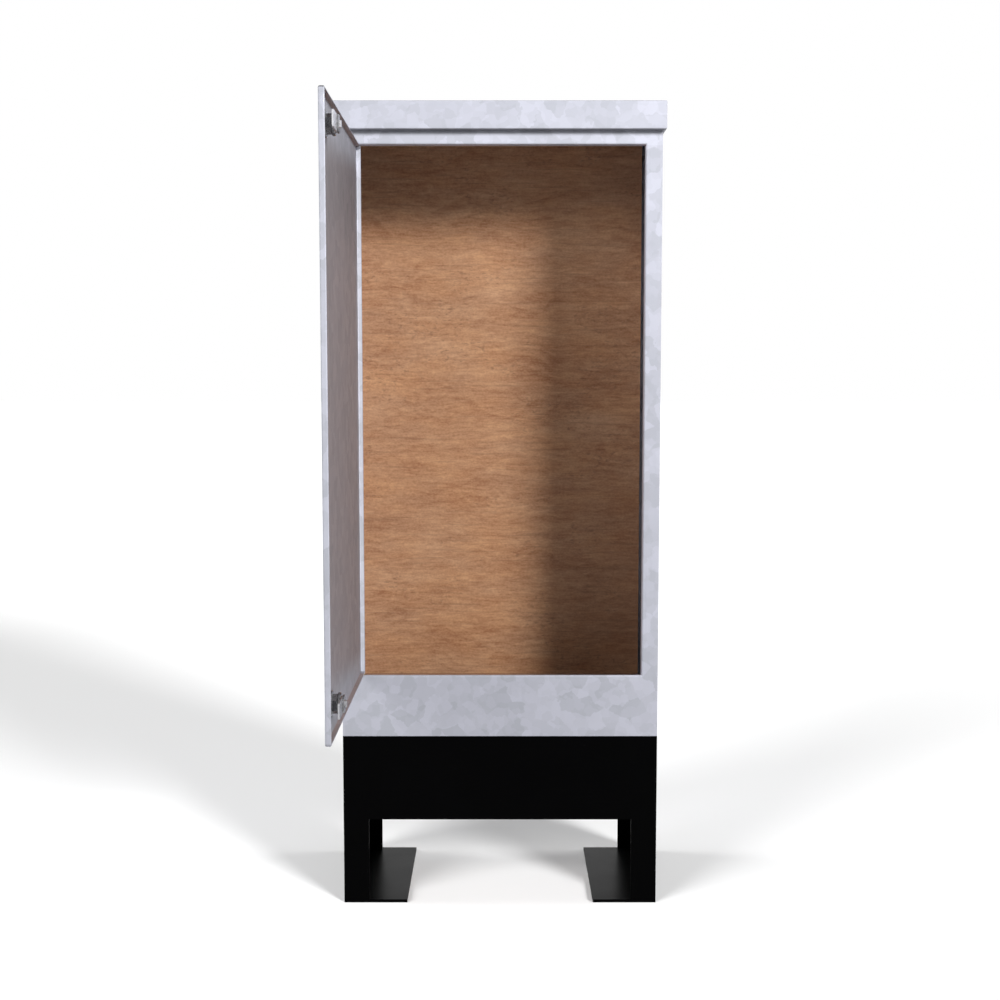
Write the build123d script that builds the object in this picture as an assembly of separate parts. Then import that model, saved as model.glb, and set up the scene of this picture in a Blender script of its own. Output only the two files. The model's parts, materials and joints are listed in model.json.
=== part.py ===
from build123d import *
import os

# Feeder pillar, millimetres. Origin: centre of the footprint on the ground.
# +X is to the right seen from the front, -Y is the front, +Z is up.

# Cabinet
cabinet_width = 600.0
cabinet_depth = 300.0
cabinet_height = 1187.0
body_sheet = 2.0
bend_radius = 3.0
body_flange = 34.0
flange_end_gap = 24.0

# Root
root_height = 327.0
root_plate = 3.0
arch_height = 164.0
leg_face = 48.5
foot_width = 121.0
foot_plate = 6.0

# Roof cap
roof_sheet = 2.0
roof_skirt = 52.2
canopy_reach = 13.0
roof_overhang = 6.0

# Front frame
stile_width = 31.0
sill_height = 118.0
head_height = 77.5
frame_return = 18.0

# Door, a folded tray that closes flush with the front frame
door_gap = 1.5
door_sheet = 2.0
door_depth = 10.0
door_edge_radius = 1.9
door_open_angle = 90.0

# Door pivots
pivot_inset = 6.0
pivot_pin_radius = 2.5
pivot_head_height = 3.0
pivot_head_clearance = 0.3
pivot_plate_thickness = 2.5
pivot_plate_length = 14.0
pivot_clearance = 0.05
thrust_washer_radius = 5.0
thrust_clearance = 0.1

# Quarter-turn locks, stacked inwards from the door skin
lock_inset = 57.0
lock_drop = 45.4
lock_rise = 53.4
collar_radius = 17.0
collar_thickness = 4.0
collar_edge = 1.0
barrel_radius = 11.0
barrel_hole_clearance = 0.25
lock_washer_radius = 21.0
lock_washer_thickness = 4.0
lock_washer_edge = 0.8
lock_nut_flats = 27.4
lock_nut_turn = 30.0
lock_nut_thickness = 8.0
stop_ring_radius = 18.0
stop_ring_thickness = 5.5
stop_ring_edge = 1.2
rotor_radius = 7.5
rotor_head_radius = 9.5
rotor_head_depth = 2.5
rotor_clearance = 0.05
rotor_end_gap = 0.1
key_recess_radius = 5.5
key_recess_depth = 8.0
cam_clearance = 0.5
cam_thickness = 2.5
cam_width = 26.0
cam_reach = 54.0
cam_tip_radius = 5.0
cam_square = 9.0
cam_washer_radius = 14.5
cam_washer_thickness = 2.4
cam_washer_edge = 0.5
cam_screw_radius = 3.0
cam_screw_length = 12.0
cam_screw_flats = 10.0
cam_screw_head = 3.2

# Plywood backboard on two channel rails
board_thickness = 18.0
board_side_gap = 10.0
board_top_gap = 8.0
board_foot_gap = 11.0
rail_depth = 18.0
rail_height = 24.0
rail_sheet = 2.0
rail_end_gap = 30.0
board_screw_edge = 40.0
board_screw_radius = 3.0
board_screw_length = 26.0
board_screw_head_radius = 6.5
board_screw_head = 4.0

# Hexagon bolts and nuts between cabinet and root
root_bolt_radius = 5.0
root_bolt_flats = 16.0
root_bolt_head = 6.5
root_bolt_length = 24.0
root_bolt_edge = 18.0

# Weld studs and nuts between roof and cabinet
roof_stud_radius = 3.0
roof_stud_length = 18.0
roof_nut_flats = 10.0
roof_nut_height = 5.0
roof_stud_edge = 16.0

# Both rows of fixings stand clear of the frame returns and of the board
fixing_front_gap = 42.0
fixing_rear_gap = 22.0

# Fits and cuts
bolt_hole_clearance = 0.5
thread_clearance = 0.05
overrun = 1.0

# Places that follow from the sizes above
half_width = cabinet_width / 2
front_y = -cabinet_depth / 2
rear_y = cabinet_depth / 2
roof_top = root_height + cabinet_height
wall_top = roof_top - roof_sheet
skirt_foot = roof_top - roof_skirt
opening_half = half_width - stile_width
opening_foot = root_height + sill_height
opening_head = roof_top - head_height
door_half = opening_half - door_gap
door_foot = opening_foot + door_gap
door_head = opening_head - door_gap
door_inner_y = front_y + door_sheet
pivot_x = -door_half + pivot_inset
pivot_y = front_y + pivot_inset
pivot_head_radius = pivot_inset - body_sheet - pivot_head_clearance
fold_inner = bend_radius - door_sheet
lock_x = door_half - lock_inset
lock_heights = {"upper": door_head - lock_drop, "lower": door_foot + lock_rise}
lock_washer_y = door_inner_y + lock_washer_thickness
lock_nut_y = lock_washer_y + lock_nut_thickness
stop_ring_y = lock_nut_y + stop_ring_thickness
cam_y = stop_ring_y + cam_clearance
cam_washer_y = cam_y + cam_thickness
cam_screw_y = cam_washer_y + cam_washer_thickness
rotor_front_y = front_y - collar_thickness
rotor_step_y = rotor_front_y + rotor_head_depth
rail_y = rear_y - body_sheet - rail_depth
board_y = rail_y - board_thickness
fixing_front_y = front_y + frame_return + fixing_front_gap
fixing_rear_y = board_y - fixing_rear_gap
board_half = half_width - body_sheet - board_side_gap
board_foot = root_height + body_sheet + board_foot_gap
board_head = wall_top - board_top_gap
rail_half = half_width - body_sheet - rail_end_gap
rail_feet = {"upper": board_head - rail_height, "lower": board_foot}
sides = {"left": -1, "right": 1}


def block(x0, x1, y0, y1, z0, z1):
    """Box between two corners."""
    centre = Pos((x0 + x1) / 2, (y0 + y1) / 2, (z0 + z1) / 2)
    return centre * Box(x1 - x0, y1 - y0, z1 - z0)


def side_block(side, inner_x, outer_x, y0, y1, z0, z1):
    """Box on the left (-1) or right (+1) half, given its distances from the middle."""
    x0, x1 = sorted((side * inner_x, side * outer_x))
    return block(x0, x1, y0, y1, z0, z1)


def upright(x, y, z0, z1, radius):
    """Round bar along Z."""
    return Pos(x, y, (z0 + z1) / 2) * Cylinder(radius, z1 - z0)


def crosswise(x, z, y0, y1, radius):
    """Round bar along Y."""
    return Pos(x, (y0 + y1) / 2, z) * Rot(90, 0, 0) * Cylinder(radius, y1 - y0)


def hexagon_upright(x, y, z0, z1, flats):
    """Hexagonal bar along Z, sized across its flats."""
    profile = RegularPolygon(flats / 2, 6, major_radius=False)
    return Pos(x, y, z0) * extrude(profile, z1 - z0)


def hexagon_crosswise(x, z, y0, y1, flats, turn=0):
    """Hexagonal bar along Y, sized across its flats, turned about its own axis."""
    profile = RegularPolygon(flats / 2, 6, major_radius=False, rotation=turn)
    return Pos(x, y0, z) * Rot(-90, 0, 0) * extrude(profile, y1 - y0)


def opened(piece):
    """Turn a piece of the closed door to the open pose."""
    return piece.rotate(Axis((pivot_x, pivot_y, 0), (0, 0, 1)), -door_open_angle)


def corners(x):
    """The four (x, y) fixing places: left and right, front and rear."""
    return [(side * x, y) for side in (-1, 1) for y in (fixing_front_y, fixing_rear_y)]


root_bolt_places = corners(half_width - root_bolt_edge)
roof_stud_places = corners(half_width - roof_stud_edge)


def root_arch_plate(y0):
    """Front or rear root plate, cut to an arch between its two legs."""
    plate = block(-half_width, half_width, y0, y0 + root_plate, foot_plate, root_height)
    arch_half = half_width - leg_face
    arch = block(-arch_half, arch_half, y0 - overrun, y0 + root_plate + overrun,
                 foot_plate - overrun, arch_height)
    return plate - arch


def root_side(side):
    """Root side plate, its top edge folded inwards to a bolting flange."""
    y0 = front_y + root_plate
    y1 = rear_y - root_plate
    wall = side_block(side, half_width - root_plate, half_width, y0, y1, foot_plate, root_height)
    flange = side_block(side, half_width - body_flange, half_width,
                        y0 + flange_end_gap, y1 - flange_end_gap,
                        root_height - root_plate, root_height)
    plate = wall + flange
    hole_radius = root_bolt_radius + bolt_hole_clearance
    for x, y in root_bolt_places:
        plate -= upright(x, y, root_height - root_plate - overrun, root_height + overrun, hole_radius)
    return plate


def foot(side):
    """Flat foot plate under one side of the root."""
    return side_block(side, half_width - foot_width, half_width, front_y, rear_y, 0, foot_plate)


def cabinet_wrap():
    """Both sides and the back folded from one sheet, with inward flanges top and bottom."""
    y0 = front_y + body_sheet
    outer = block(-half_width, half_width, y0, rear_y, root_height, wall_top)
    outer = fillet(outer.edges().filter_by(Axis.Z).group_by(Axis.Y)[-1], bend_radius)
    inner_half = half_width - body_sheet
    inner = block(-inner_half, inner_half, y0 - overrun, rear_y - body_sheet,
                  root_height - overrun, wall_top + overrun)
    inner = fillet(inner.edges().filter_by(Axis.Z).group_by(Axis.Y)[-1], bend_radius - body_sheet)
    wrap = outer - inner
    flange_y0 = y0 + flange_end_gap
    flange_y1 = rear_y - body_sheet - flange_end_gap
    for side in sides.values():
        for z0 in (root_height, wall_top - body_sheet):
            wrap += side_block(side, half_width - body_flange, half_width - body_sheet,
                               flange_y0, flange_y1, z0, z0 + body_sheet)
    for x, y in root_bolt_places:
        wrap -= upright(x, y, root_height - overrun, root_height + body_sheet + overrun,
                        root_bolt_radius + bolt_hole_clearance)
    for x, y in roof_stud_places:
        wrap -= upright(x, y, wall_top - body_sheet - overrun, wall_top + overrun,
                        roof_stud_radius + bolt_hole_clearance)
    return wrap


def front_frame():
    """Front sheet with the door opening, its four edges folded back into returns."""
    plate = block(-half_width, half_width, front_y, front_y + body_sheet, root_height, wall_top)
    return_half = opening_half + body_sheet
    return_y = front_y + frame_return
    returns = block(-return_half, return_half, front_y, return_y,
                    opening_foot - body_sheet, opening_head + body_sheet)
    opening = block(-opening_half, opening_half, front_y - overrun, return_y + overrun,
                    opening_foot, opening_head)
    frame = plate + returns - opening
    rim = frame.edges().filter_by_position(Axis.Y, front_y, front_y).filter_by_position(
        Axis.X, -opening_half, opening_half).filter_by_position(Axis.Z, opening_foot, opening_head)
    frame = fillet(rim, bend_radius)
    for z0 in (opening_foot - body_sheet, opening_head):
        frame -= upright(pivot_x, pivot_y, z0 - overrun, z0 + body_sheet + overrun, pivot_pin_radius)
    return frame


def roof_cap():
    """Folded lid: top sheet, skirts that stand off the walls, and a lip that closes them below."""
    outer_half = half_width + roof_overhang
    fascia_y = front_y - canopy_reach
    back_y = rear_y + roof_overhang
    cap = block(-outer_half, outer_half, fascia_y, back_y, skirt_foot, roof_top)
    folds = cap.edges().group_by(Axis.Z)[-1] + cap.edges().group_by(Axis.Z)[0]
    cap = fillet(folds, bend_radius)
    body_recess = block(-half_width, half_width, front_y, rear_y, skirt_foot - overrun, wall_top)
    inner_half = outer_half - roof_sheet
    hollow = block(-inner_half, inner_half, fascia_y + roof_sheet, back_y - roof_sheet,
                   skirt_foot + roof_sheet, wall_top)
    return cap - body_recess - hollow


def backboard():
    """Plywood equipment board."""
    board = block(-board_half, board_half, board_y, rail_y, board_foot, board_head)
    for x, z in board_screw_places:
        board -= crosswise(x, z, board_y - overrun, rail_y + overrun,
                           board_screw_radius + bolt_hole_clearance)
    return board


def board_rail(name):
    """Channel rail across the back sheet, open towards the back."""
    z0 = rail_feet[name]
    z1 = z0 + rail_height
    back_y = rear_y - body_sheet
    rail = block(-rail_half, rail_half, rail_y, back_y, z0, z1)
    rail -= block(-rail_half - overrun, rail_half + overrun, rail_y + rail_sheet, back_y + overrun,
                  z0 + rail_sheet, z1 - rail_sheet)
    for x, z in board_screw_places:
        rail -= crosswise(x, z, rail_y - overrun, rail_y + rail_sheet + overrun,
                          board_screw_radius + thread_clearance)
    return rail


board_screw_places = [(side * (rail_half - board_screw_edge), rail_feet[name] + rail_height / 2)
                      for name in rail_feet for side in (-1, 1)]


def board_screw(x, z):
    """Pan-head screw through the board into a rail."""
    head = crosswise(x, z, board_y - board_screw_head, board_y, board_screw_head_radius)
    head = chamfer(head.edges().group_by(Axis.Y)[0], board_screw_head / 2)
    return head + crosswise(x, z, board_y, board_y + board_screw_length, board_screw_radius)


def root_bolt(x, y):
    """Hexagon bolt, head inside the cabinet."""
    seat = root_height + body_sheet
    head = hexagon_upright(x, y, seat, seat + root_bolt_head, root_bolt_flats)
    return head + upright(x, y, seat - root_bolt_length, seat, root_bolt_radius)


def root_nut(x, y):
    """Hexagon nut under the root's bolting flange."""
    seat = root_height - root_plate
    foot_z = seat - root_bolt_head
    nut = hexagon_upright(x, y, foot_z, seat, root_bolt_flats)
    return nut - upright(x, y, foot_z - overrun, seat + overrun, root_bolt_radius + thread_clearance)


def roof_stud(x, y):
    """Stud welded under the roof sheet."""
    return upright(x, y, wall_top - roof_stud_length, wall_top, roof_stud_radius)


def roof_nut(x, y):
    """Hexagon nut that clamps the wrap's top flange to the roof."""
    seat = wall_top - body_sheet
    foot_z = seat - roof_nut_height
    nut = hexagon_upright(x, y, foot_z, seat, roof_nut_flats)
    return nut - upright(x, y, foot_z - overrun, seat + overrun, roof_stud_radius + thread_clearance)


def door_leaf():
    """Door skin folded into a shallow tray, open to the inside."""
    tray = block(-door_half, door_half, front_y, front_y + door_depth, door_foot, door_head)
    tray = fillet(tray.faces().sort_by(Axis.Y)[0].edges(), bend_radius)
    tray = fillet(tray.faces().sort_by(Axis.Y)[-1].edges(), door_edge_radius)
    pocket = block(-door_half + door_sheet, door_half - door_sheet, door_inner_y,
                   front_y + door_depth + overrun, door_foot + door_sheet, door_head - door_sheet)
    pocket = fillet(pocket.faces().sort_by(Axis.Y)[0].edges(), fold_inner)
    leaf = tray - pocket
    for z in lock_heights.values():
        leaf -= crosswise(lock_x, z, front_y - overrun, door_inner_y + overrun,
                          barrel_radius + barrel_hole_clearance)
    for z0 in (door_foot, door_head - door_sheet):
        leaf -= upright(pivot_x, pivot_y, z0 - overrun, z0 + door_sheet + overrun,
                        pivot_pin_radius + pivot_clearance)
    return leaf


def pivot_plate(z0):
    """Bearing block welded into a hinge-side corner of the door tray."""
    x0 = -door_half + door_sheet
    plate = block(x0, x0 + pivot_plate_length, door_inner_y, front_y + door_depth,
                  z0, z0 + pivot_plate_thickness)
    skin_edges = plate.faces().sort_by(Axis.Y)[0].edges()
    plate = chamfer(skin_edges, fold_inner)
    return plate - upright(pivot_x, pivot_y, z0 - overrun, z0 + pivot_plate_thickness + overrun,
                           pivot_pin_radius + pivot_clearance)


def pivot_pin(tip_z, seat_z, head_z):
    """Headed pivot pin, from its tip in the door to its head behind the frame return."""
    shank = upright(pivot_x, pivot_y, min(tip_z, head_z), max(tip_z, head_z), pivot_pin_radius)
    return shank + upright(pivot_x, pivot_y, min(seat_z, head_z), max(seat_z, head_z), pivot_head_radius)


def thrust_washer():
    """Washer that carries the door on the sill return."""
    top = opening_foot + door_gap - thrust_clearance
    ring = upright(pivot_x, pivot_y, opening_foot, top, thrust_washer_radius)
    return ring - upright(pivot_x, pivot_y, opening_foot - overrun, top + overrun,
                          pivot_pin_radius + pivot_clearance)


def lock_housing(z):
    """Round collar outside the door with a barrel through it, bored for the rotor."""
    collar = crosswise(lock_x, z, rotor_front_y, front_y, collar_radius)
    collar = chamfer(collar.edges().group_by(Axis.Y)[0], collar_edge)
    housing = collar + crosswise(lock_x, z, front_y, stop_ring_y, barrel_radius)
    housing -= crosswise(lock_x, z, rotor_front_y - overrun, stop_ring_y + overrun,
                         rotor_radius + rotor_clearance)
    return housing - crosswise(lock_x, z, rotor_front_y - overrun, rotor_step_y,
                               rotor_head_radius + rotor_clearance)


def lock_washer(z):
    """Backing washer against the inside of the door skin."""
    ring = crosswise(lock_x, z, door_inner_y, lock_washer_y, lock_washer_radius)
    ring = chamfer(ring.edges().group_by(Axis.Y)[-1], lock_washer_edge)
    return ring - crosswise(lock_x, z, door_inner_y - overrun, lock_washer_y + overrun,
                            barrel_radius + barrel_hole_clearance)


def lock_nut(z):
    """Hexagonal fixing nut on the barrel, a corner upwards."""
    nut = hexagon_crosswise(lock_x, z, lock_washer_y, lock_nut_y, lock_nut_flats, lock_nut_turn)
    return nut - crosswise(lock_x, z, lock_washer_y - overrun, lock_nut_y + overrun,
                           barrel_radius + thread_clearance)


def stop_ring(z):
    """Round ring on the barrel's end that the cam turns against."""
    ring = crosswise(lock_x, z, lock_nut_y, stop_ring_y, stop_ring_radius)
    ring = chamfer(ring.edges(), stop_ring_edge)
    return ring - crosswise(lock_x, z, lock_nut_y - overrun, stop_ring_y + overrun,
                            barrel_radius + thread_clearance)


def lock_rotor(z):
    """Turning core with a triangular key recess outside and a square end for the cam."""
    head_seat = rotor_step_y - rotor_end_gap
    rotor = crosswise(lock_x, z, rotor_front_y, head_seat, rotor_head_radius)
    rotor += crosswise(lock_x, z, head_seat, cam_y, rotor_radius)
    square = extrude(Rectangle(cam_square, cam_square), cam_thickness)
    rotor += Pos(lock_x, cam_y, z) * Rot(-90, 0, 0) * square
    recess = extrude(RegularPolygon(key_recess_radius, 3), key_recess_depth + overrun)
    rotor -= Pos(lock_x, rotor_front_y - overrun, z) * Rot(-90, 0, 0) * recess
    tap_y = cam_screw_y - cam_screw_length
    return rotor - crosswise(lock_x, z, tap_y, cam_screw_y, cam_screw_radius + thread_clearance)


def lock_cam(z):
    """Flat cam tongue with a round heel and a square hole, pointing at the free edge."""
    heel = Circle(cam_width / 2)
    tongue = Pos(cam_reach / 2, 0) * Rectangle(cam_reach, cam_width)
    tongue = fillet(tongue.vertices().group_by(Axis.X)[-1], cam_tip_radius)
    hole = Rectangle(cam_square + thread_clearance, cam_square + thread_clearance)
    profile = heel + tongue - hole
    return Pos(lock_x, cam_y, z) * Rot(-90, 0, 0) * extrude(profile, cam_thickness)


def cam_washer(z):
    """Round washer that clamps the cam on the rotor."""
    ring = crosswise(lock_x, z, cam_washer_y, cam_screw_y, cam_washer_radius)
    ring = chamfer(ring.edges().group_by(Axis.Y)[-1], cam_washer_edge)
    return ring - crosswise(lock_x, z, cam_washer_y - overrun, cam_screw_y + overrun,
                            cam_screw_radius + thread_clearance)


def cam_screw(z):
    """Hexagon-head screw into the end of the rotor."""
    shank = crosswise(lock_x, z, cam_screw_y - cam_screw_length, cam_screw_y, cam_screw_radius)
    return shank + hexagon_crosswise(lock_x, z, cam_screw_y, cam_screw_y + cam_screw_head, cam_screw_flats)


def root_pieces():
    """The black root: arched plates, flanged sides and feet."""
    pieces = {"root_front_plate": root_arch_plate(front_y),
              "root_rear_plate": root_arch_plate(rear_y - root_plate)}
    for name, side in sides.items():
        pieces[f"root_side_{name}"] = root_side(side)
        pieces[f"foot_{name}"] = foot(side)
    return pieces


def cabinet_pieces():
    """The galvanised shell, the board and all fixings."""
    pieces = {"cabinet_wrap": cabinet_wrap(), "front_frame": front_frame(),
              "roof_cap": roof_cap(), "backboard": backboard()}
    for name in rail_feet:
        pieces[f"board_rail_{name}"] = board_rail(name)
    for number, place in enumerate(board_screw_places, start=1):
        pieces[f"board_screw_{number}"] = board_screw(*place)
    for number, place in enumerate(root_bolt_places, start=1):
        pieces[f"root_bolt_{number}"] = root_bolt(*place)
        pieces[f"root_nut_{number}"] = root_nut(*place)
    for number, place in enumerate(roof_stud_places, start=1):
        pieces[f"roof_stud_{number}"] = roof_stud(*place)
        pieces[f"roof_nut_{number}"] = roof_nut(*place)
    return pieces


def pivot_pieces():
    """Pivot pins and thrust washer, which stay with the frame."""
    upper_tip = door_head - door_sheet - pivot_plate_thickness
    upper_seat = opening_head + body_sheet
    lower_tip = door_foot + door_sheet + pivot_plate_thickness
    lower_seat = opening_foot - body_sheet
    return {"pivot_pin_upper": pivot_pin(upper_tip, upper_seat, upper_seat + pivot_head_height),
            "pivot_pin_lower": pivot_pin(lower_tip, lower_seat, lower_seat - pivot_head_height),
            "thrust_washer": thrust_washer()}


def door_pieces():
    """The door leaf, its pivot plates and both locks, in the open pose."""
    closed = {"door_leaf": door_leaf(),
              "pivot_plate_upper": pivot_plate(door_head - door_sheet - pivot_plate_thickness),
              "pivot_plate_lower": pivot_plate(door_foot + door_sheet)}
    for name, z in lock_heights.items():
        closed[f"lock_housing_{name}"] = lock_housing(z)
        closed[f"lock_washer_{name}"] = lock_washer(z)
        closed[f"lock_nut_{name}"] = lock_nut(z)
        closed[f"stop_ring_{name}"] = stop_ring(z)
        closed[f"lock_rotor_{name}"] = lock_rotor(z)
        closed[f"lock_cam_{name}"] = lock_cam(z)
        closed[f"cam_washer_{name}"] = cam_washer(z)
        closed[f"cam_screw_{name}"] = cam_screw(z)
    return {name: opened(piece) for name, piece in closed.items()}


os.makedirs("parts", exist_ok=True)
for group in (root_pieces(), cabinet_pieces(), pivot_pieces(), door_pieces()):
    for node, solid in group.items():
        export_step(solid, f"parts/{node}.step")
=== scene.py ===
"""Looks of a galvanised feeder pillar with an open door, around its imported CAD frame."""
import json
import math

import bpy
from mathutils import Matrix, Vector


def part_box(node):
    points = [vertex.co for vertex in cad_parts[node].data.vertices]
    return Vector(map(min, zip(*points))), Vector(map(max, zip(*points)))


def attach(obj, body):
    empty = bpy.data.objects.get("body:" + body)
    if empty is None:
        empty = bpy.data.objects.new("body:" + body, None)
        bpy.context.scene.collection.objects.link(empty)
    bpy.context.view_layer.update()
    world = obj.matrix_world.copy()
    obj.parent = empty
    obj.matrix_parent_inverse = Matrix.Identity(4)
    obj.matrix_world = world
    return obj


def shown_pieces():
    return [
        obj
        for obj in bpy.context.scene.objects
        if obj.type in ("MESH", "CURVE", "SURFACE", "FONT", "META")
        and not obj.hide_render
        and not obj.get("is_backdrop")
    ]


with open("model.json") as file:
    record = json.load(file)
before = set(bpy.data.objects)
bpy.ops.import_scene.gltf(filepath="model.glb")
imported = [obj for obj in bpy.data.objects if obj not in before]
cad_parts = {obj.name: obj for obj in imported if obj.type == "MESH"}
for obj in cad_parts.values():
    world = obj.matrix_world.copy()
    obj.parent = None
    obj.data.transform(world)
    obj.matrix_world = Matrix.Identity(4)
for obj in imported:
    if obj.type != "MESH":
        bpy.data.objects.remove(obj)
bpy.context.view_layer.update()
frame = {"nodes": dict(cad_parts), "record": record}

# Camera, in metres and degrees, from the photograph's perspective
LENS_MM = 50.0
SENSOR_MM = 36.0
CAMERA_BACK = 2.6035
CAMERA_HEIGHT = 1.005
CAMERA_PITCH_DEG = 4.95

# Lamps: bearing from straight ahead of the door (right is positive), degrees, metres, watts
SOFTBOXES = {
    "key_softbox": dict(bearing=41.3, reach=5.0, height=3.31, size=1.45, watts=270.0),
    "fill_softbox": dict(bearing=-43.0, reach=5.0, height=3.66, size=3.0, watts=128.0),
    "back_softbox": dict(bearing=-138.0, reach=5.0, height=4.0, size=3.0, watts=160.0),
}
SOFTBOX_AIM = Vector((0.0, -0.15, 0.95))
FLOOR_SUNS = {
    "key_sun": dict(bearing=37.2, elevation=18.6, spread=15.0, strength=4.8),
    "fill_sun": dict(bearing=-43.0, elevation=19.3, spread=30.0, strength=3.65),
    "left_sun": dict(bearing=-97.0, elevation=35.0, spread=18.0, strength=0.93),
    "right_sun": dict(bearing=97.0, elevation=35.0, spread=18.0, strength=0.72),
}
AMBIENT = 0.11

# Zinc: flake tones, sizes in metres, and how dull it is on deep and on pale flakes
ZINC_PALE = (0.538, 0.546, 0.62, 1.0)
ZINC_DEEP = (0.45, 0.46, 0.514, 1.0)
ZINC_METAL = 0.45
ZINC_ROUGH = (0.64, 0.56)
RUBBED_SHARE = 0.7
FLAKE_SIZE = 0.031
FLAKE_TEAR = 0.019

# Board: dark and pale tone of its warm and cool stretches, veneers on its edges, and a painted shade on its
# lower right part
BOARD_WARM = ((0.370, 0.152, 0.064, 1.0), (0.682, 0.372, 0.190, 1.0))
BOARD_COOL = ((0.358, 0.160, 0.073, 1.0), (0.668, 0.380, 0.212, 1.0))
LINE_BROWN = (0.17, 0.075, 0.038, 1.0)
LINE_SHARE = 0.22
PORE_SHARE = 0.40
VENEER_PALE = (0.42, 0.25, 0.14, 1.0)
VENEER_DARK = (0.22, 0.11, 0.055, 1.0)
VENEER_PITCH = 0.0052
GRAIN_WAVE = 0.012
RINGS_PER_METRE = 42.0
RING_CLIMB = 5.5
# painted shade: the board darker towards its lower right
BOARD_SHADE_TINT = (0.68, 0.65, 0.62, 1.0)
BOARD_SHADE_X = (0.05, 0.18)
BOARD_SHADE_Z = (0.45, 0.85)

# Painted light and shade on the zinc: shadows, highlights and reflections put in its colour; and the root
# coating's gloss on faces that look up
# painted reflection of the board inside the door's tray, and warmer on its flanges
TRAY_REFLECTION_TINT = (0.55, 0.492, 0.467, 1.0)
TRAY_FLANGE_REFLECTION = (1.22, 1.10, 1.02, 1.0)
# painted light near the tray's top and foot ends
TRAY_END_LIGHT = (1.22, 1.34, 1.40, 1.0)
# painted shade high in the tray, towards the hinge
TRAY_CORNER_SHADE = (0.76, 0.76, 0.75, 1.0)
# painted light on the hinge return
RETURN_LIGHT_TINT = (1.5, 1.5, 1.46, 1.0)
# painted shade on the top and foot edges of the free edge's strip
TOP_EDGE_SHADE = (0.26, 0.26, 0.26, 1.0)
FOOT_EDGE_SHADE = (0.62, 0.62, 0.62, 1.0)
# painted shade on the lower half of the free edge's strip
STRIP_LOW_SHADE = (0.91, 0.91, 0.91, 1.0)
# painted light on the right stile's return, which lies in shade
STILE_LIGHT_TINT = (1.5, 1.5, 1.5, 1.0)
# painted light: the head rail above the door a little brighter
HEAD_LIGHT_TINT = (1.06, 1.06, 1.06, 1.0)
# painted shade: the zinc below the sill a little darker
LOW_SHADE_TINT = (0.95, 0.95, 0.95, 1.0)
# painted shadow of the lid's lip on the zinc just below it
LID_SHADE_TINT = (0.55, 0.55, 0.55, 1.0)
FOOT_SHEEN = 0.235

# Sizes that the painted light and shade follow, metres; the door's reaches and shares run from its free
# edge to its hinge
DOOR_SHEET = 0.002
TRAY_END_REACH = (0.105, 0.048)
TRAY_SHADE_SHARES = (0.2, 1.0)
TRAY_SHADE_DEPTH = (0.12, 0.24)
LOW_SHADE_EDGE = 0.02
TINT_EDGE = 0.0003
LID_SHADE_DROP = 0.0076
LID_SHADE_EDGE = 0.0025
SILL_FILM = 0.001
CUT_EDGE = 0.0024
OPENING_HALF = 0.269
FRAME_RETURN = 0.018

# Threads that show below the nuts: root bolts and roof studs, metres
THREADS = {
    "root_bolt_threads": dict(shank="root_bolt_%d", nut="root_nut_%d", radius=0.005, pitch=0.0015),
    "roof_stud_threads": dict(shank="roof_stud_%d", nut="roof_nut_%d", radius=0.003, pitch=0.001),
}
THREADED = (1, 2, 3, 4)
RIDGE_SHARE = 0.35
RIDGE_SIDES = 4
HELIX_STEPS = 16
THREAD_LEAD_IN = 0.0012

# Stage
FLOOR_HALF = 60.0
FLOOR_TINT = (0.9, 0.9, 0.9, 1.0)
FLOOR_BOUNCE = (0.10, 0.10, 0.10, 1.0)
FLOOR_LIFT = 0.05


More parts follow.
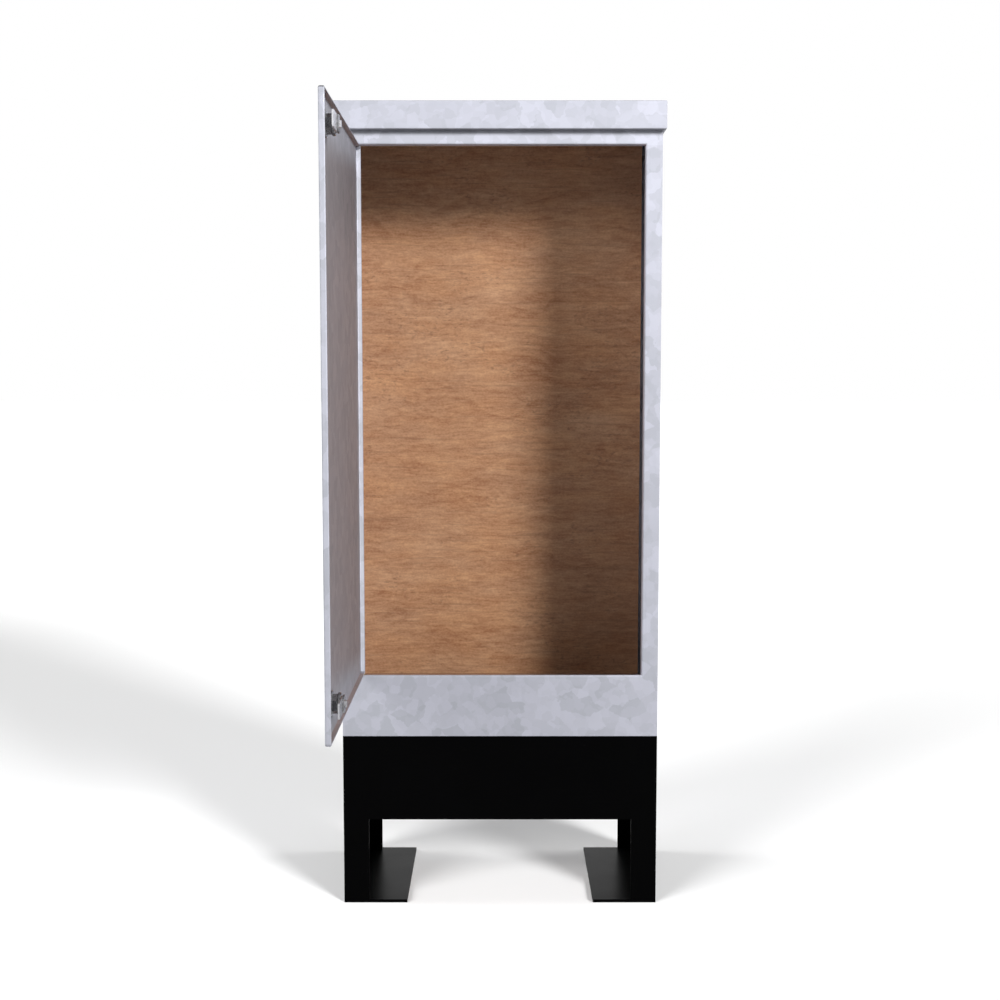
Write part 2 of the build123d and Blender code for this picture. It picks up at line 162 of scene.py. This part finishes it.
class Sheet:
    """A node tree with short calls for adding nodes and joining them."""

    def __init__(self, tree):
        self.tree = tree

    def node(self, kind, inputs=(), **settings):
        """Add a node, set its properties, and fill inputs by name or index with values or sockets."""
        made = self.tree.nodes.new(kind)
        for name, value in settings.items():
            setattr(made, name, value)
        for key, value in dict(inputs).items():
            self.feed(made.inputs[key], value)
        return made

    def feed(self, socket, value):
        if isinstance(value, bpy.types.NodeSocket):
            self.tree.links.new(value, socket)
        else:
            socket.default_value = value

    def math(self, operation, first, second=0.0):
        return self.node("ShaderNodeMath", {0: first, 1: second}, operation=operation).outputs[0]

    def times(self, first, second):
        return self.math("MULTIPLY", first, second)

    def noise(self, place, scale, detail, roughness=0.5):
        """Cloudy noise: a value first, and a colour."""
        inputs = {"Vector": place, "Scale": scale, "Detail": detail, "Roughness": roughness}
        return self.node("ShaderNodeTexNoise", inputs).outputs

    def sway(self, place, scale, detail, reach):
        """Push a place to and fro by noise, as far as the reach says."""
        colour = self.noise(place, scale, detail)["Color"]
        middle = (0.5, 0.5, 0.5)
        pull = self.node("ShaderNodeVectorMath", {0: colour, 1: middle}, operation="SUBTRACT").outputs[0]
        push = self.node("ShaderNodeVectorMath", {0: pull, "Scale": reach}, operation="SCALE").outputs[0]
        return self.node("ShaderNodeVectorMath", {0: place, 1: push}, operation="ADD").outputs[0]

    def ramp(self, value, low, high, out_low=0.0, out_high=1.0):
        """Carry a value from one range to another, clamped."""
        inputs = {"Value": value, "From Min": low, "From Max": high, "To Min": out_low, "To Max": out_high}
        return self.node("ShaderNodeMapRange", inputs).outputs["Result"]

    def between(self, value, low, high, soft):
        """1 where a value lies between two bounds, with soft flanks."""
        above = self.ramp(value, low - soft, low + soft)
        below = self.ramp(value, high - soft, high + soft, 1.0, 0.0)
        return self.times(above, below)

    def blend(self, factor, first, second, how="MIX"):
        """Mix two colours, or multiply the first by the second as far as the factor says."""
        made = self.node("ShaderNodeMix", data_type="RGBA", blend_type=how)
        sockets = {socket.identifier: socket for socket in made.inputs}
        for label, value in (("Factor_Float", factor), ("A_Color", first), ("B_Color", second)):
            self.feed(sockets[label], value)
        return next(socket for socket in made.outputs if socket.identifier == "Result_Color")

    def split(self, vector):
        return self.node("ShaderNodeSeparateXYZ", {0: vector}).outputs

    def spot(self):
        """The point in the object's own metres."""
        return self.node("ShaderNodeTexCoord").outputs["Object"]

    def place(self):
        """X, Y and Z of the point in the object's own metres."""
        return self.split(self.spot())

    def facing_up(self):
        """1 on faces that look straight up from the object."""
        facing = self.split(self.node("ShaderNodeTexCoord").outputs["Normal"])
        return self.ramp(facing["Z"], 0.6, 0.95)


def effect(name, inputs, outputs):
    """An empty shader node group with number inputs {name: default} and named number outputs."""
    tree = bpy.data.node_groups.new(name, "ShaderNodeTree")
    for label, default in inputs.items():
        socket = tree.interface.new_socket(label, in_out="INPUT", socket_type="NodeSocketFloat")
        socket.default_value = default
    for label in outputs:
        tree.interface.new_socket(label, in_out="OUTPUT", socket_type="NodeSocketFloat")
    sheet = Sheet(tree)
    return sheet, sheet.node("NodeGroupInput").outputs, sheet.node("NodeGroupOutput").inputs


def place_effect(sheet, tree, **values):
    """Put an effect group in a material, with its own values."""
    made = sheet.node("ShaderNodeGroup", node_tree=tree)
    for label, value in values.items():
        sheet.feed(made.inputs[label.replace("_", " ")], value)
    return made.outputs


def make_spangle():
    """Zinc crystals: flakes of uneven tone, with softly torn edges."""
    sizes = {"Flake Size": FLAKE_SIZE, "Tear": FLAKE_TEAR}
    sheet, given, out = effect("zinc_spangle", sizes, ("Tone", "Relief"))
    place = sheet.spot()
    torn = sheet.sway(place, 60.0, 3.0, given["Tear"])
    per_metre = sheet.math("DIVIDE", 1.0, given["Flake Size"])
    finer = sheet.times(per_metre, 1.9)
    broad = sheet.node("ShaderNodeTexVoronoi", {"Vector": torn, "Scale": per_metre})
    small = sheet.node("ShaderNodeTexVoronoi", {"Vector": torn, "Scale": finer})
    broad_tone = sheet.node("ShaderNodeSeparateColor", {0: broad.outputs["Color"]}).outputs[0]
    small_tone = sheet.node("ShaderNodeSeparateColor", {0: small.outputs["Color"]}).outputs[1]
    cloud = sheet.noise(place, 9.0, 4.0)[0]
    flakes = sheet.math("ADD", sheet.times(broad_tone, 0.45), sheet.times(small_tone, 0.25))
    sheet.feed(out["Tone"], sheet.math("ADD", flakes, sheet.times(cloud, 0.3)))
    grit = sheet.noise(place, 700.0, 2.0)[0]
    sheet.feed(out["Relief"], sheet.math("ADD", sheet.times(grit, 0.35), flakes))
    return sheet.tree


def make_grain():
    """Wood grain along X: wavy fibres, feathered growth rings, long dark lines and gathered pores."""
    masks = ("Figure", "Warmth", "Lines", "Pores")
    sheet, given, out = effect("wood_grain", {"Wave": GRAIN_WAVE}, masks)
    wavy = sheet.sway(sheet.spot(), 7.0, 2.0, given["Wave"])

    def layer(per_metre, detail, roughness):
        """Noise with its own count per metre along X, Y and Z."""
        stretched = sheet.node("ShaderNodeMapping", {"Vector": wavy, "Scale": per_metre}).outputs[0]
        return sheet.noise(stretched, 1.0, detail, roughness)[0]

    broad = layer((5.0, 15.0, 17.0), 3.0, 0.5)
    streaks = layer((13.0, 58.0, 66.0), 3.0, 0.6)
    fibres = layer((38.0, 170.0, 200.0), 3.0, 0.62)
    flecks = layer((210.0, 260.0, 300.0), 2.0, 0.5)
    climb = sheet.times(layer((7.5, 7.0, 10.0), 2.0, 0.45), RING_CLIMB)
    height = sheet.times(sheet.split(wavy)["Z"], RINGS_PER_METRE)
    ring = sheet.math("FRACT", sheet.math("ADD", height, climb))
    feather = sheet.times(ring, sheet.ramp(ring, 0.80, 1.0, 1.0, 0.0))
    shown = sheet.ramp(layer((8.0, 10.0, 12.0), 2.0, 0.5), 0.42, 0.6)
    figure = sheet.times(sheet.times(feather, shown), -0.085)
    for layered, share in ((broad, 0.13), (streaks, 0.25), (fibres, 0.32), (flecks, 0.22)):
        figure = sheet.math("ADD", figure, sheet.times(layered, share))
    sheet.feed(out["Figure"], figure)
    sheet.feed(out["Warmth"], layer((9.0, 22.0, 24.0), 2.0, 0.5))
    sheet.feed(out["Lines"], sheet.ramp(layer((6.0, 150.0, 185.0), 2.0, 0.5), 0.58, 0.70))
    gathered = sheet.ramp(layer((11.0, 13.0, 15.0), 2.0, 0.5), 0.54, 0.62)
    pores = sheet.ramp(layer((95.0, 170.0, 210.0), 2.0, 0.5), 0.56, 0.68)
    sheet.feed(out["Pores"], sheet.times(gathered, pores))
    return sheet.tree


SPANGLE = make_spangle()
GRAIN = make_grain()


def new_material(name, **constants):
    """A material with one Principled shader and its plain values set on the shader itself."""
    material = bpy.data.materials.new(name)
    material.use_nodes = True
    shader = material.node_tree.nodes["Principled BSDF"]
    for label, value in constants.items():
        shader.inputs[label.replace("_", " ")].default_value = value
    return material, Sheet(material.node_tree), shader


def add_bump(sheet, shader, height, strength, distance):
    bump = sheet.node("ShaderNodeBump", {"Height": height, "Strength": strength, "Distance": distance})
    sheet.feed(shader.inputs["Normal"], bump.outputs[0])


def lid_tint(sheet, shader, colour):
    """Zinc of the shell: painted shadow under the lid's lip, painted shade below the sill, painted light on
    the head rail and on the right stile's return, and a bright-rubbed sill that mirrors the board.
    """
    lip_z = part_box("roof_cap")[0][2]
    head_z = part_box("door_leaf")[1][2]
    sill_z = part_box("thrust_washer")[0][2]
    front_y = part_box("front_frame")[0][1]
    shade_z = lip_z - LID_SHADE_DROP
    place = sheet.place()
    # painted shadow: a darker band on the zinc just under the lid's lip
    under = sheet.ramp(place["Z"], shade_z - LID_SHADE_EDGE, shade_z + LID_SHADE_EDGE)
    lip_shadow = sheet.times(under, sheet.ramp(place["Z"], lip_z + SILL_FILM, lip_z + 2 * SILL_FILM, 1.0, 0.0))
    behind = sheet.ramp(place["Y"], front_y + DOOR_SHEET, front_y + 2 * DOOR_SHEET)
    level = sheet.between(place["Z"], sill_z - SILL_FILM, sill_z + SILL_FILM, TINT_EDGE)
    sill = sheet.times(sheet.times(behind, sheet.facing_up()), level)
    sheet.feed(shader.inputs["Metallic"], sheet.ramp(sill, 0.0, 1.0, ZINC_METAL, 1.0))
    # painted light: the right stile's return brightened out of its shade
    stile = sheet.between(place["X"], OPENING_HALF - DOOR_SHEET, OPENING_HALF + DOOR_SHEET / 2, TINT_EDGE)
    front = sheet.ramp(place["Y"], front_y + FRAME_RETURN, front_y + 2 * FRAME_RETURN, 1.0, 0.0)
    opening = sheet.between(place["Z"], sill_z, head_z, TINT_EDGE)
    edge = sheet.times(sheet.times(stile, front), opening)
    # painted shade: the zinc below the sill a little darker
    low_shade = sheet.ramp(place["Z"], sill_z - LOW_SHADE_EDGE, sill_z + LOW_SHADE_EDGE, 1.0, 0.0)
    # painted light: the head rail above the door a little brighter
    head = sheet.times(front, sheet.between(place["Z"], head_z, lip_z, TINT_EDGE))
    tints = ((low_shade, LOW_SHADE_TINT), (head, HEAD_LIGHT_TINT), (edge, STILE_LIGHT_TINT), (lip_shadow, LID_SHADE_TINT))
    for mask, tint in tints:
        colour = sheet.blend(mask, colour, tint, "MULTIPLY")
    return colour, sill


def tray_tint(sheet, shader, colour):
    """Zinc of the door: a painted reflection of the board, brown-grey, inside the tray and warmer on its
    flanges; painted light on the tray's ends and hinge return; painted shade high in the tray by the hinge
    and along the free edge's strip.
    """
    (x0, y0, z0), (x1, y1, z1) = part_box("door_leaf")
    place = sheet.place()
    skin = DOOR_SHEET / 2
    deep = sheet.between(place["X"], x0 + skin, x1 - skin, TINT_EDGE)
    tall = sheet.between(place["Z"], z0 + skin, z1 - skin, TINT_EDGE)
    pocket = sheet.times(deep, tall)
    return_y = y1 - 1.2 * DOOR_SHEET
    # painted reflection: the inside of the tray brown-grey, as if mirroring the board
    inside = sheet.times(pocket, sheet.between(place["Y"], y0 + skin, return_y, TINT_EDGE))
    # painted light: the hinge return's inner face brighter
    hinge = sheet.times(pocket, sheet.between(place["Y"], return_y, y1 - skin, TINT_EDGE))
    strip = sheet.ramp(place["Y"], y0 + skin - TINT_EDGE, y0 + skin + TINT_EDGE, 1.0, 0.0)
    # painted shade: the free edge's strip darker towards its foot
    lower = sheet.times(strip, sheet.ramp(place["Z"], z0, (z0 + z1) / 2, 1.0, 0.0))
    # painted shade: dark lines along the top and foot of the free edge's strip
    top = sheet.times(strip, sheet.ramp(place["Z"], z1 - CUT_EDGE, z1 - CUT_EDGE / 2))
    foot = sheet.times(strip, sheet.ramp(place["Z"], z0 + CUT_EDGE / 2, z0 + 2 * CUT_EDGE, 1.0, 0.0))
    below_top = sheet.math("SUBTRACT", z1, place["Z"])
    nearest_end = sheet.math("MINIMUM", below_top, sheet.math("SUBTRACT", place["Z"], z0))
    # painted reflection: the tray's top and foot flanges warmer than its skin
    face = sheet.times(inside, sheet.ramp(nearest_end, 1.2 * DOOR_SHEET, 1.7 * DOOR_SHEET))
    flange = sheet.math("SUBTRACT", inside, face)
    # painted light: the tray's skin brighter near its top and foot ends, reaching further at the free edge
    end_reach = sheet.ramp(place["Y"], y0, y1, *TRAY_END_REACH)
    near = sheet.ramp(sheet.math("DIVIDE", nearest_end, end_reach), 0.5, 1.0, 1.0, 0.0)
    ends = sheet.times(face, near)
    # painted shade: the tray's skin darker in its upper part towards the hinge
    high = sheet.ramp(below_top, *TRAY_SHADE_DEPTH, 1.0, 0.0)
    shaded = sheet.times(high, sheet.ramp(place["Y"], y0, y1, *TRAY_SHADE_SHARES))
    corner = sheet.times(sheet.math("SUBTRACT", face, ends), shaded)
    tints = ((inside, TRAY_REFLECTION_TINT), (flange, TRAY_FLANGE_REFLECTION), (ends, TRAY_END_LIGHT),
             (corner, TRAY_CORNER_SHADE), (hinge, RETURN_LIGHT_TINT), (lower, STRIP_LOW_SHADE),
             (top, TOP_EDGE_SHADE), (foot, FOOT_EDGE_SHADE))
    for mask, tint in tints:
        colour = sheet.blend(mask, colour, tint, "MULTIPLY")
    return colour, 0.0


def galvanised(name, tint):
    """Hot-dip zinc: pale lavender and grey-green flakes, satin, with painted light and shade as its pieces
    call for.
    """
    material, sheet, shader = new_material(name, Metallic=ZINC_METAL)
    spangle = place_effect(sheet, SPANGLE, Flake_Size=FLAKE_SIZE, Tear=FLAKE_TEAR)
    tone = sheet.ramp(spangle["Tone"], 0.25, 0.75)
    colour, rubbed = tint(sheet, shader, sheet.blend(tone, ZINC_DEEP, ZINC_PALE))
    sheet.feed(shader.inputs["Base Color"], colour)
    satin = sheet.ramp(tone, 0.0, 1.0, *ZINC_ROUGH)
    polish = sheet.math("SUBTRACT", 1.0, sheet.times(rubbed, RUBBED_SHARE))
    sheet.feed(shader.inputs["Roughness"], sheet.times(satin, polish))
    add_bump(sheet, shader, spangle["Relief"], 0.05, 0.002)
    return material


def root_black():
    """Thick black coating with a faint brushed-on texture."""
    material, sheet, shader = new_material("root_black", Specular_IOR_Level=0.015, Coat_Roughness=0.28)
    stipple = sheet.noise(sheet.spot(), 140.0, 4.0)[0]
    broad = sheet.noise(sheet.spot(), 14.0, 3.0)[0]
    colour = sheet.blend(broad, (0.0008, 0.0008, 0.0009, 1.0), (0.0014, 0.0014, 0.0016, 1.0))
    sheet.feed(shader.inputs["Coat Weight"], sheet.times(sheet.facing_up(), FOOT_SHEEN))
    sheet.feed(shader.inputs["Base Color"], colour)
    sheet.feed(shader.inputs["Roughness"], sheet.ramp(broad, 0.3, 0.7, 0.30, 0.40))
    add_bump(sheet, shader, stipple, 0.10, 0.0008)
    return material


def plywood():
    """Bare hardwood ply: reddish face grain along X, stacked veneers on the edges."""
    material, sheet, shader = new_material("plywood")
    grain = place_effect(sheet, GRAIN, Wave=GRAIN_WAVE)
    figure = sheet.ramp(grain["Figure"], 0.312, 0.572)
    warm = sheet.blend(figure, *BOARD_WARM)
    cool = sheet.blend(figure, *BOARD_COOL)
    face = sheet.blend(sheet.ramp(grain["Warmth"], 0.34, 0.66), cool, warm)
    for mask, share in ((grain["Lines"], LINE_SHARE), (grain["Pores"], PORE_SHARE)):
        face = sheet.blend(sheet.times(mask, share), face, LINE_BROWN)
    place = sheet.place()
    # painted shade: the board is darker towards its lower right
    board_shade = sheet.times(sheet.ramp(place["X"], *BOARD_SHADE_X), sheet.ramp(place["Z"], *BOARD_SHADE_Z, 1.0, 0.0))
    face = sheet.blend(board_shade, face, BOARD_SHADE_TINT, "MULTIPLY")
    veneer = sheet.math("FRACT", sheet.math("DIVIDE", place["Y"], VENEER_PITCH))
    edge = sheet.blend(sheet.ramp(veneer, 0.45, 0.55), VENEER_PALE, VENEER_DARK)
    facing = sheet.split(sheet.node("ShaderNodeNewGeometry").outputs["Normal"])
    turn = sheet.math("ABSOLUTE", facing["Y"])
    sheet.feed(shader.inputs["Base Color"], sheet.blend(sheet.ramp(turn, 0.4, 0.6), edge, face))
    sheet.feed(shader.inputs["Roughness"], sheet.ramp(figure, 0.0, 1.0, 0.62, 0.5))
    add_bump(sheet, shader, grain["Figure"], 0.12, 0.0012)
    return material


def plated(name, pale, deep, rough, low=1.0):
    """Zinc-plated steel of locks and fasteners, with dulled patches, and darker towards the lower lock by
    low.
    """
    material, sheet, shader = new_material(name, Metallic=0.9)
    low_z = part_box("lock_cam_lower")[1][2]
    high_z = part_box("lock_cam_upper")[0][2]
    patch = sheet.noise(sheet.spot(), 120.0, 5.0)[0]
    dull = sheet.ramp(patch, 0.35, 0.65)
    # darker from the upper lock's cam down to the lower lock's cam, by low
    toward_low = sheet.ramp(sheet.place()["Z"], low_z, high_z, 1.0, 0.0)
    colour = sheet.blend(toward_low, sheet.blend(dull, pale, deep), (low, low, low, 1.0), "MULTIPLY")
    sheet.feed(shader.inputs["Base Color"], colour)
    sheet.feed(shader.inputs["Roughness"], sheet.ramp(dull, 0.0, 1.0, rough, rough + 0.15))
    add_bump(sheet, shader, patch, 0.08, 0.0004)
    return material


def thin_brass():
    """Turned brass, slightly tarnished."""
    material, sheet, shader = new_material("turned_brass", Metallic=1.0)
    tarnish = sheet.noise(sheet.spot(), 200.0, 4.0)[0]
    colour = sheet.blend(tarnish, (0.62, 0.46, 0.2, 1.0), (0.36, 0.25, 0.11, 1.0))
    sheet.feed(shader.inputs["Base Color"], colour)
    sheet.feed(shader.inputs["Roughness"], sheet.ramp(tarnish, 0.3, 0.7, 0.25, 0.45))
    return material


FINISHES = {
    "galvanised_sheet": galvanised("galvanised_sheet", lid_tint),
    "door_sheet": galvanised("door_sheet", tray_tint),
    "root_coating": root_black(),
    "plywood": plywood(),
    "lock_metal": plated("dark_plating", (0.27, 0.27, 0.28, 1.0), (0.17, 0.17, 0.178, 1.0), 0.17),
    "cam_steel": plated("bright_plating", (0.74, 0.74, 0.77, 1.0), (0.56, 0.56, 0.59, 1.0), 0.26, low=0.6),
    "fastener_zinc": plated("fastener_plating", (0.52, 0.52, 0.55, 1.0), (0.36, 0.36, 0.39, 1.0), 0.3),
    "washer_brass": thin_brass(),
}


def dress_nodes():
    """Give every CAD node the finish of its material slot."""
    for row in frame["record"]["subparts"]:
        mesh = frame["nodes"][row["node"]].data
        mesh.materials.clear()
        mesh.materials.append(FINISHES[row["material_slot"]])


def make_thread_tree():
    """Geometry nodes: a screw thread's ridge as a helix, set on every given point."""
    tree = bpy.data.node_groups.new("thread_ridges", "GeometryNodeTree")
    tree.interface.new_socket("Geometry", in_out="INPUT", socket_type="NodeSocketGeometry")
    for label in ("Radius", "Pitch", "Length"):
        tree.interface.new_socket(label, in_out="INPUT", socket_type="NodeSocketFloat")
    tree.interface.new_socket("Finish", in_out="INPUT", socket_type="NodeSocketMaterial")
    tree.interface.new_socket("Geometry", in_out="OUTPUT", socket_type="NodeSocketGeometry")
    sheet = Sheet(tree)
    given = sheet.node("NodeGroupInput").outputs
    turns = sheet.math("DIVIDE", given["Length"], given["Pitch"])
    thickness = sheet.times(given["Pitch"], RIDGE_SHARE)

    def step(kind, **inputs):
        """The first result of a geometry node, with its inputs named in its own words."""
        named = {label.replace("_", " "): value for label, value in inputs.items()}
        return sheet.node("GeometryNode" + kind, named).outputs[0]

    helix = step("CurveSpiral", Resolution=HELIX_STEPS, Rotations=turns, Height=given["Length"],
                 Start_Radius=given["Radius"], End_Radius=given["Radius"])
    ridge = step("CurvePrimitiveCircle", Resolution=RIDGE_SIDES, Radius=thickness)
    thread = step("CurveToMesh", Curve=helix, Profile_Curve=ridge, Fill_Caps=True)
    placed = step("InstanceOnPoints", Points=given["Geometry"], Instance=thread)
    whole = step("RealizeInstances", Geometry=placed)
    dressed = step("SetMaterial", Geometry=whole, Material=given["Finish"])
    sheet.node("NodeGroupOutput", {0: dressed})
    return tree


def add_threads(tree, name, shank, nut, radius, pitch):
    """Threads on the bare ends of four bolts or studs, from just above the tip to the nut."""
    feet = []
    for number in THREADED:
        (x0, y0, z0), (x1, y1, z1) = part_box(shank % number)
        feet.append(((x0 + x1) / 2, (y0 + y1) / 2, z0 + THREAD_LEAD_IN))
    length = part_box(nut % THREADED[0])[0][2] - feet[0][2] - THREAD_LEAD_IN
    mesh = bpy.data.meshes.new(name + "_feet")
    mesh.from_pydata(feet, [], [])
    piece = bpy.data.objects.new(name, mesh)
    bpy.context.scene.collection.objects.link(piece)
    rule = piece.modifiers.new("threads", "NODES")
    rule.node_group = tree
    sizes = {"Radius": radius, "Pitch": pitch, "Length": length, "Finish": FINISHES["fastener_zinc"]}
    for item in tree.interface.items_tree:
        if item.in_out == "INPUT" and item.name in sizes:
            rule[item.identifier] = sizes[item.name]
    seen = piece.evaluated_get(bpy.context.evaluated_depsgraph_get())
    whole = bpy.data.meshes.new_from_object(seen)
    piece.modifiers.remove(rule)
    piece.data = whole
    whole.name = name
    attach(piece, "cabinet")


def is_seen_ray(sheet):
    """1 for rays that show the stage itself: from the camera, a mirror or a pane."""
    path = sheet.node("ShaderNodeLightPath").outputs
    seen = sheet.math("MAXIMUM", path["Is Camera Ray"], path["Is Glossy Ray"])
    return sheet.math("MAXIMUM", seen, path["Is Transmission Ray"])


def add_floor():
    """Plain pale floor that keeps the object's shadow and returns little light."""
    corners = [(x, y, 0.0) for x, y in ((-1, -1), (1, -1), (1, 1), (-1, 1))]
    mesh = bpy.data.meshes.new("floor")
    mesh.from_pydata([Vector(c) * FLOOR_HALF for c in corners], [], [(0, 1, 2, 3)])
    floor = bpy.data.objects.new("floor", mesh)
    bpy.context.scene.collection.objects.link(floor)
    material, sheet, shader = new_material("pale_floor", Roughness=1.0, Specular_IOR_Level=0.0)
    seen = is_seen_ray(sheet)
    sheet.feed(shader.inputs["Base Color"], sheet.blend(seen, FLOOR_BOUNCE, FLOOR_TINT))
    shader.inputs["Emission Color"].default_value = (1.0, 1.0, 1.0, 1.0)
    sheet.feed(shader.inputs["Emission Strength"], sheet.times(seen, FLOOR_LIFT))
    mesh.materials.append(material)
    floor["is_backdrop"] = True
    return floor


def add_world():
    """Even studio surround: white to the eye, softer as light."""
    world = bpy.data.worlds.new("studio")
    world.use_nodes = True
    bpy.context.scene.world = world
    sheet = Sheet(world.node_tree)
    background = world.node_tree.nodes["Background"]
    background.inputs["Color"].default_value = (1.0, 1.0, 1.0, 1.0)
    sheet.feed(background.inputs["Strength"], sheet.ramp(is_seen_ray(sheet), 0.0, 1.0, AMBIENT, 1.0))


def lit_only(name, objects):
    """A collection that names what a lamp shines on."""
    chosen = bpy.data.collections.new(name)
    for item in objects:
        chosen.objects.link(item)
    return chosen


def add_light(name, kind, receivers, **settings):
    """A lamp of one kind that shines on the receivers, linked and ready to be placed."""
    lamp = bpy.data.lights.new(name, kind)
    for label, value in settings.items():
        setattr(lamp, label, value)
    holder = bpy.data.objects.new(name, lamp)
    holder.light_linking.receiver_collection = receivers
    bpy.context.scene.collection.objects.link(holder)
    return holder


def add_softbox(name, receivers, bearing, reach, height, size, watts):
    """Round soft box, aimed at the middle of the cabinet."""
    holder = add_light(name, "AREA", receivers, shape="DISK", size=size, energy=watts)
    turn = math.radians(bearing)
    spot = SOFTBOX_AIM + Vector((reach * math.sin(turn), -reach * math.cos(turn), 0.0))
    holder.location = (spot.x, spot.y, height)
    holder.rotation_euler = (SOFTBOX_AIM - holder.location).to_track_quat("-Z", "Y").to_euler()


def add_sun(name, receivers, bearing, elevation, spread, strength):
    """Far soft light that comes in at a bearing and an elevation."""
    holder = add_light(name, "SUN", receivers, energy=strength, angle=math.radians(spread))
    turn, rise = math.radians(bearing), math.radians(elevation)
    source = Vector((math.sin(turn) * math.cos(rise), -math.cos(turn) * math.cos(rise), math.sin(rise)))
    holder.rotation_euler = (-source).to_track_quat("-Z", "Y").to_euler()


def add_lamps(floor):
    """Soft boxes for the part, and matching suns that keep the floor evenly white round its shadow."""
    part_lit = lit_only("part_lit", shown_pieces())
    for name, values in SOFTBOXES.items():
        add_softbox(name, part_lit, **values)
    floor_lit = lit_only("floor_lit", [floor])
    for name, values in FLOOR_SUNS.items():
        add_sun(name, floor_lit, **values)


def add_camera():
    """Camera in front of the cabinet, tipped slightly down."""
    front_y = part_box("front_frame")[0][1]
    lens = bpy.data.cameras.new("camera")
    lens.sensor_width = SENSOR_MM
    lens.lens = LENS_MM
    lens.clip_end = 2 * FLOOR_HALF
    camera = bpy.data.objects.new("camera", lens)
    camera.location = (0.0, front_y - CAMERA_BACK, CAMERA_HEIGHT)
    camera.rotation_euler = (math.radians(90.0 - CAMERA_PITCH_DEG), 0.0, 0.0)
    bpy.context.scene.collection.objects.link(camera)
    bpy.context.scene.camera = camera


dress_nodes()
thread_tree = make_thread_tree()
for thread_name, thread_sizes in THREADS.items():
    add_threads(thread_tree, thread_name, **thread_sizes)
pale_floor = add_floor()
add_world()
add_lamps(pale_floor)
add_camera()
bpy.context.scene.view_settings.view_transform = "Standard"
